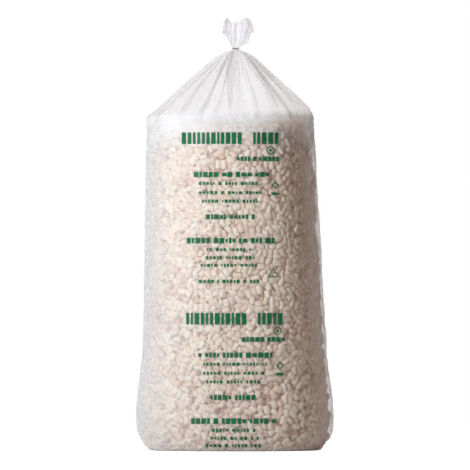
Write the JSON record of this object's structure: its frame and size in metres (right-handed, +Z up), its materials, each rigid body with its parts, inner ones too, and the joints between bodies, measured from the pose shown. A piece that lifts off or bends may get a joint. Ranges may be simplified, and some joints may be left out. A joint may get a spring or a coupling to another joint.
{
  "type": "packing peanut bag",
  "caption": "Tall clear film sack full of starch packing peanuts, its top gathered into a cone and closed with a twisted wire under a ruffled mouth.",
  "frame": {"origin": "on the floor, under the middle of the sack", "axes": "+Z up along the sack, -Y towards the printed front, +X towards the front's right-hand side crease"},
  "size_m": [0.828, 0.7506, 1.82],
  "materials": {
    "clear_film": "clear, slightly milky polyethylene film",
    "starch_foam": "cream extruded starch foam",
    "dark_wire": "black annealed wire, satin"
  },
  "bodies": {
    "root": {"film_sack": "clear_film", "peanut_heap": "starch_foam", "wire_tie": "dark_wire"}
  },
  "joints": []
}
